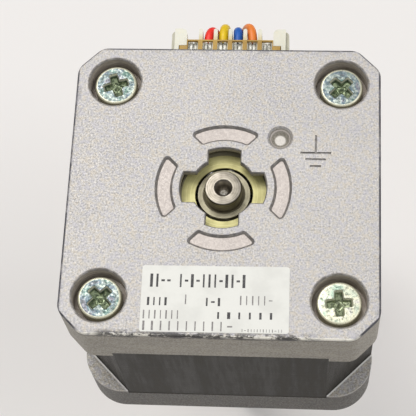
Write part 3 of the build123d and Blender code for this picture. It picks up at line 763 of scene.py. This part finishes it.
screw_head("tie_screw_a", -15.5, 15.5, 18)
screw_head("tie_screw_b", 15.5, 15.5, 45)
screw_head("tie_screw_c", -15.5, -15.5, 45)
screw_head("tie_screw_d", 15.5, -15.5, 4)


# ---------------------------------------------------------------- label with generic marks
def slab(points, z0, z1, lift=None):
    n = len(points)
    vs = [V(p[0], p[1], z0) for p in points] + [V(p[0], p[1], z1) for p in points]
    fs = [tuple(reversed(range(n))), tuple(range(n, 2 * n))]
    fs += [(i, (i + 1) % n, n + (i + 1) % n, n + i) for i in range(n)]
    return vs, fs


def rounded(w, h, r, n=5):
    out = []
    for cx, cy, a0 in ((w / 2 - r, h / 2 - r, 0), (-w / 2 + r, h / 2 - r, 90), (-w / 2 + r, -h / 2 + r, 180), (w / 2 - r, -h / 2 + r, 270)):
        for i in range(n + 1):
            a = math.radians(a0 + 90 * i / n)
            out.append((cx + r * math.cos(a), cy + r * math.sin(a)))
    return out


LX, LY, LA = -0.42, -15.68, math.radians(0.4)


def on_label(u, v):
    return (LX + u * math.cos(LA) - v * math.sin(LA), LY + u * math.sin(LA) + v * math.cos(LA))


vs, fs = slab([on_label(*p) for p in rounded(19.1, 9.0, 0.35)], 35.0, 35.06)
label = new_mesh("rating_label_sheet", vs, fs, M["label"], "housing", smooth=False)
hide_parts("rating_label")
rng = random.Random(11)
INK = {"ink": ([], []), "ink_grey": ([], [])}


def bar(ink, u0, u1, v0, v1):
    a, b = slab([on_label(u0, v0), on_label(u1, v0), on_label(u1, v1), on_label(u0, v1)], 35.055, 35.072)
    vs, fs = INK[ink]
    base = len(vs)
    vs.extend(a)
    fs.extend([tuple(base + i for i in f) for f in b])


def marks(ink, u0, u1, v0, v1, count, weight):
    """A run of plain upright ticks and level dashes filling a box, one stroke to a cell and none touching."""
    cell = (u1 - u0) / count
    for c in range(count):
        a, b = u0 + c * cell, u0 + (c + 0.6) * cell
        m = (a + b) / 2
        kind = rng.choice("tttt-")
        if kind == "t":
            w = weight * rng.choice((0.8, 1.0, 1.35))
            bar(ink, m - w / 2, m + w / 2, v0, v1)
        else:
            h = (v0 + v1) / 2
            bar(ink, a, b, h - weight / 2, h + weight / 2)


marks("ink", -8.5, -5.5, 1.55, 3.35, 4, 0.27)
marks("ink", -4.7, 4.2, 1.55, 3.35, 12, 0.27)
marks("ink", -8.8, -5.8, -0.95, 0.15, 4, 0.22)
marks("ink_grey", -4.05, -3.05, -0.75, 0.55, 1, 0.16)
marks("ink", -1.25, 1.1, -0.95, 0.15, 3, 0.22)
marks("ink_grey", 3.1, 7.7, -0.75, 0.50, 6, 0.13)
marks("ink_grey", -9.3, -4.2, -2.75, -1.6, 7, 0.14)
marks("ink", 0.1, 8.2, -2.65, -1.75, 6, 0.30)
marks("ink_grey", -9.35, 2.8, -4.3, -3.05, 11, 0.20)
marks("ink_grey", 3.5, 8.9, -4.35, -3.95, 14, 0.08)
for key, name in (("ink", "label_marks"), ("ink_grey", "label_marks_grey")):
    new_mesh(name, INK[key][0], INK[key][1], M[key], "housing", smooth=False)

# ---------------------------------------------------------------- stage
floor_z = cad_box[0][2] - 0.0003 if isinstance(cad_box[0], (list, tuple, Vector)) else -0.0693
me = bpy.data.meshes.new("floor")
s_ = 1.5
me.from_pydata([(-s_, -s_, floor_z), (s_, -s_, floor_z), (s_, s_, floor_z), (-s_, s_, floor_z)], [], [(0, 1, 2, 3)])
floor = bpy.data.objects.new("floor", me)
coll.objects.link(floor)
fm = Mat("floor", "#ece9e6", rough=0.8, spec=0.2)
me.materials.append(fm.m)

world = bpy.data.worlds.new("world")
scene.world = world
world.use_nodes = True
wt = world.node_tree
bg = wt.nodes["Background"]
bg.inputs[0].default_value = (0.97, 0.98, 1.0, 1)
tc = wt.nodes.new("ShaderNodeTexCoord")
sp = wt.nodes.new("ShaderNodeSeparateXYZ")
mr = wt.nodes.new("ShaderNodeMapRange")
mr.interpolation_type = "SMOOTHSTEP"
for i_, val in enumerate((0.0, 0.95, 0.13, 0.60)):
    mr.inputs[i_ + 1].default_value = val
wt.links.new(tc.outputs["Generated"], sp.inputs[0])
wt.links.new(sp.outputs[2], mr.inputs[0])
wt.links.new(mr.outputs[0], bg.inputs[1])


def area(name, loc, target, size, power, color=(1, 1, 1), sy=None):
    d = bpy.data.lights.new(name, "AREA")
    d.shape = "RECTANGLE"
    d.size = size
    d.size_y = sy or size
    d.energy = power
    d.color = color
    o = bpy.data.objects.new(name, d)
    coll.objects.link(o)
    o.location = loc
    o.rotation_euler = (Vector(target) - Vector(loc)).to_track_quat("-Z", "Y").to_euler()
    return o


area("key", (-0.42, 0.52, 1.25), (0, 0, 0.02), 0.85, 10.8, (1.0, 0.985, 0.96))
area("fill", (0.9, -0.1, 1.1), (0, 0, 0.02), 0.9, 5.6, (0.97, 0.98, 1.0))
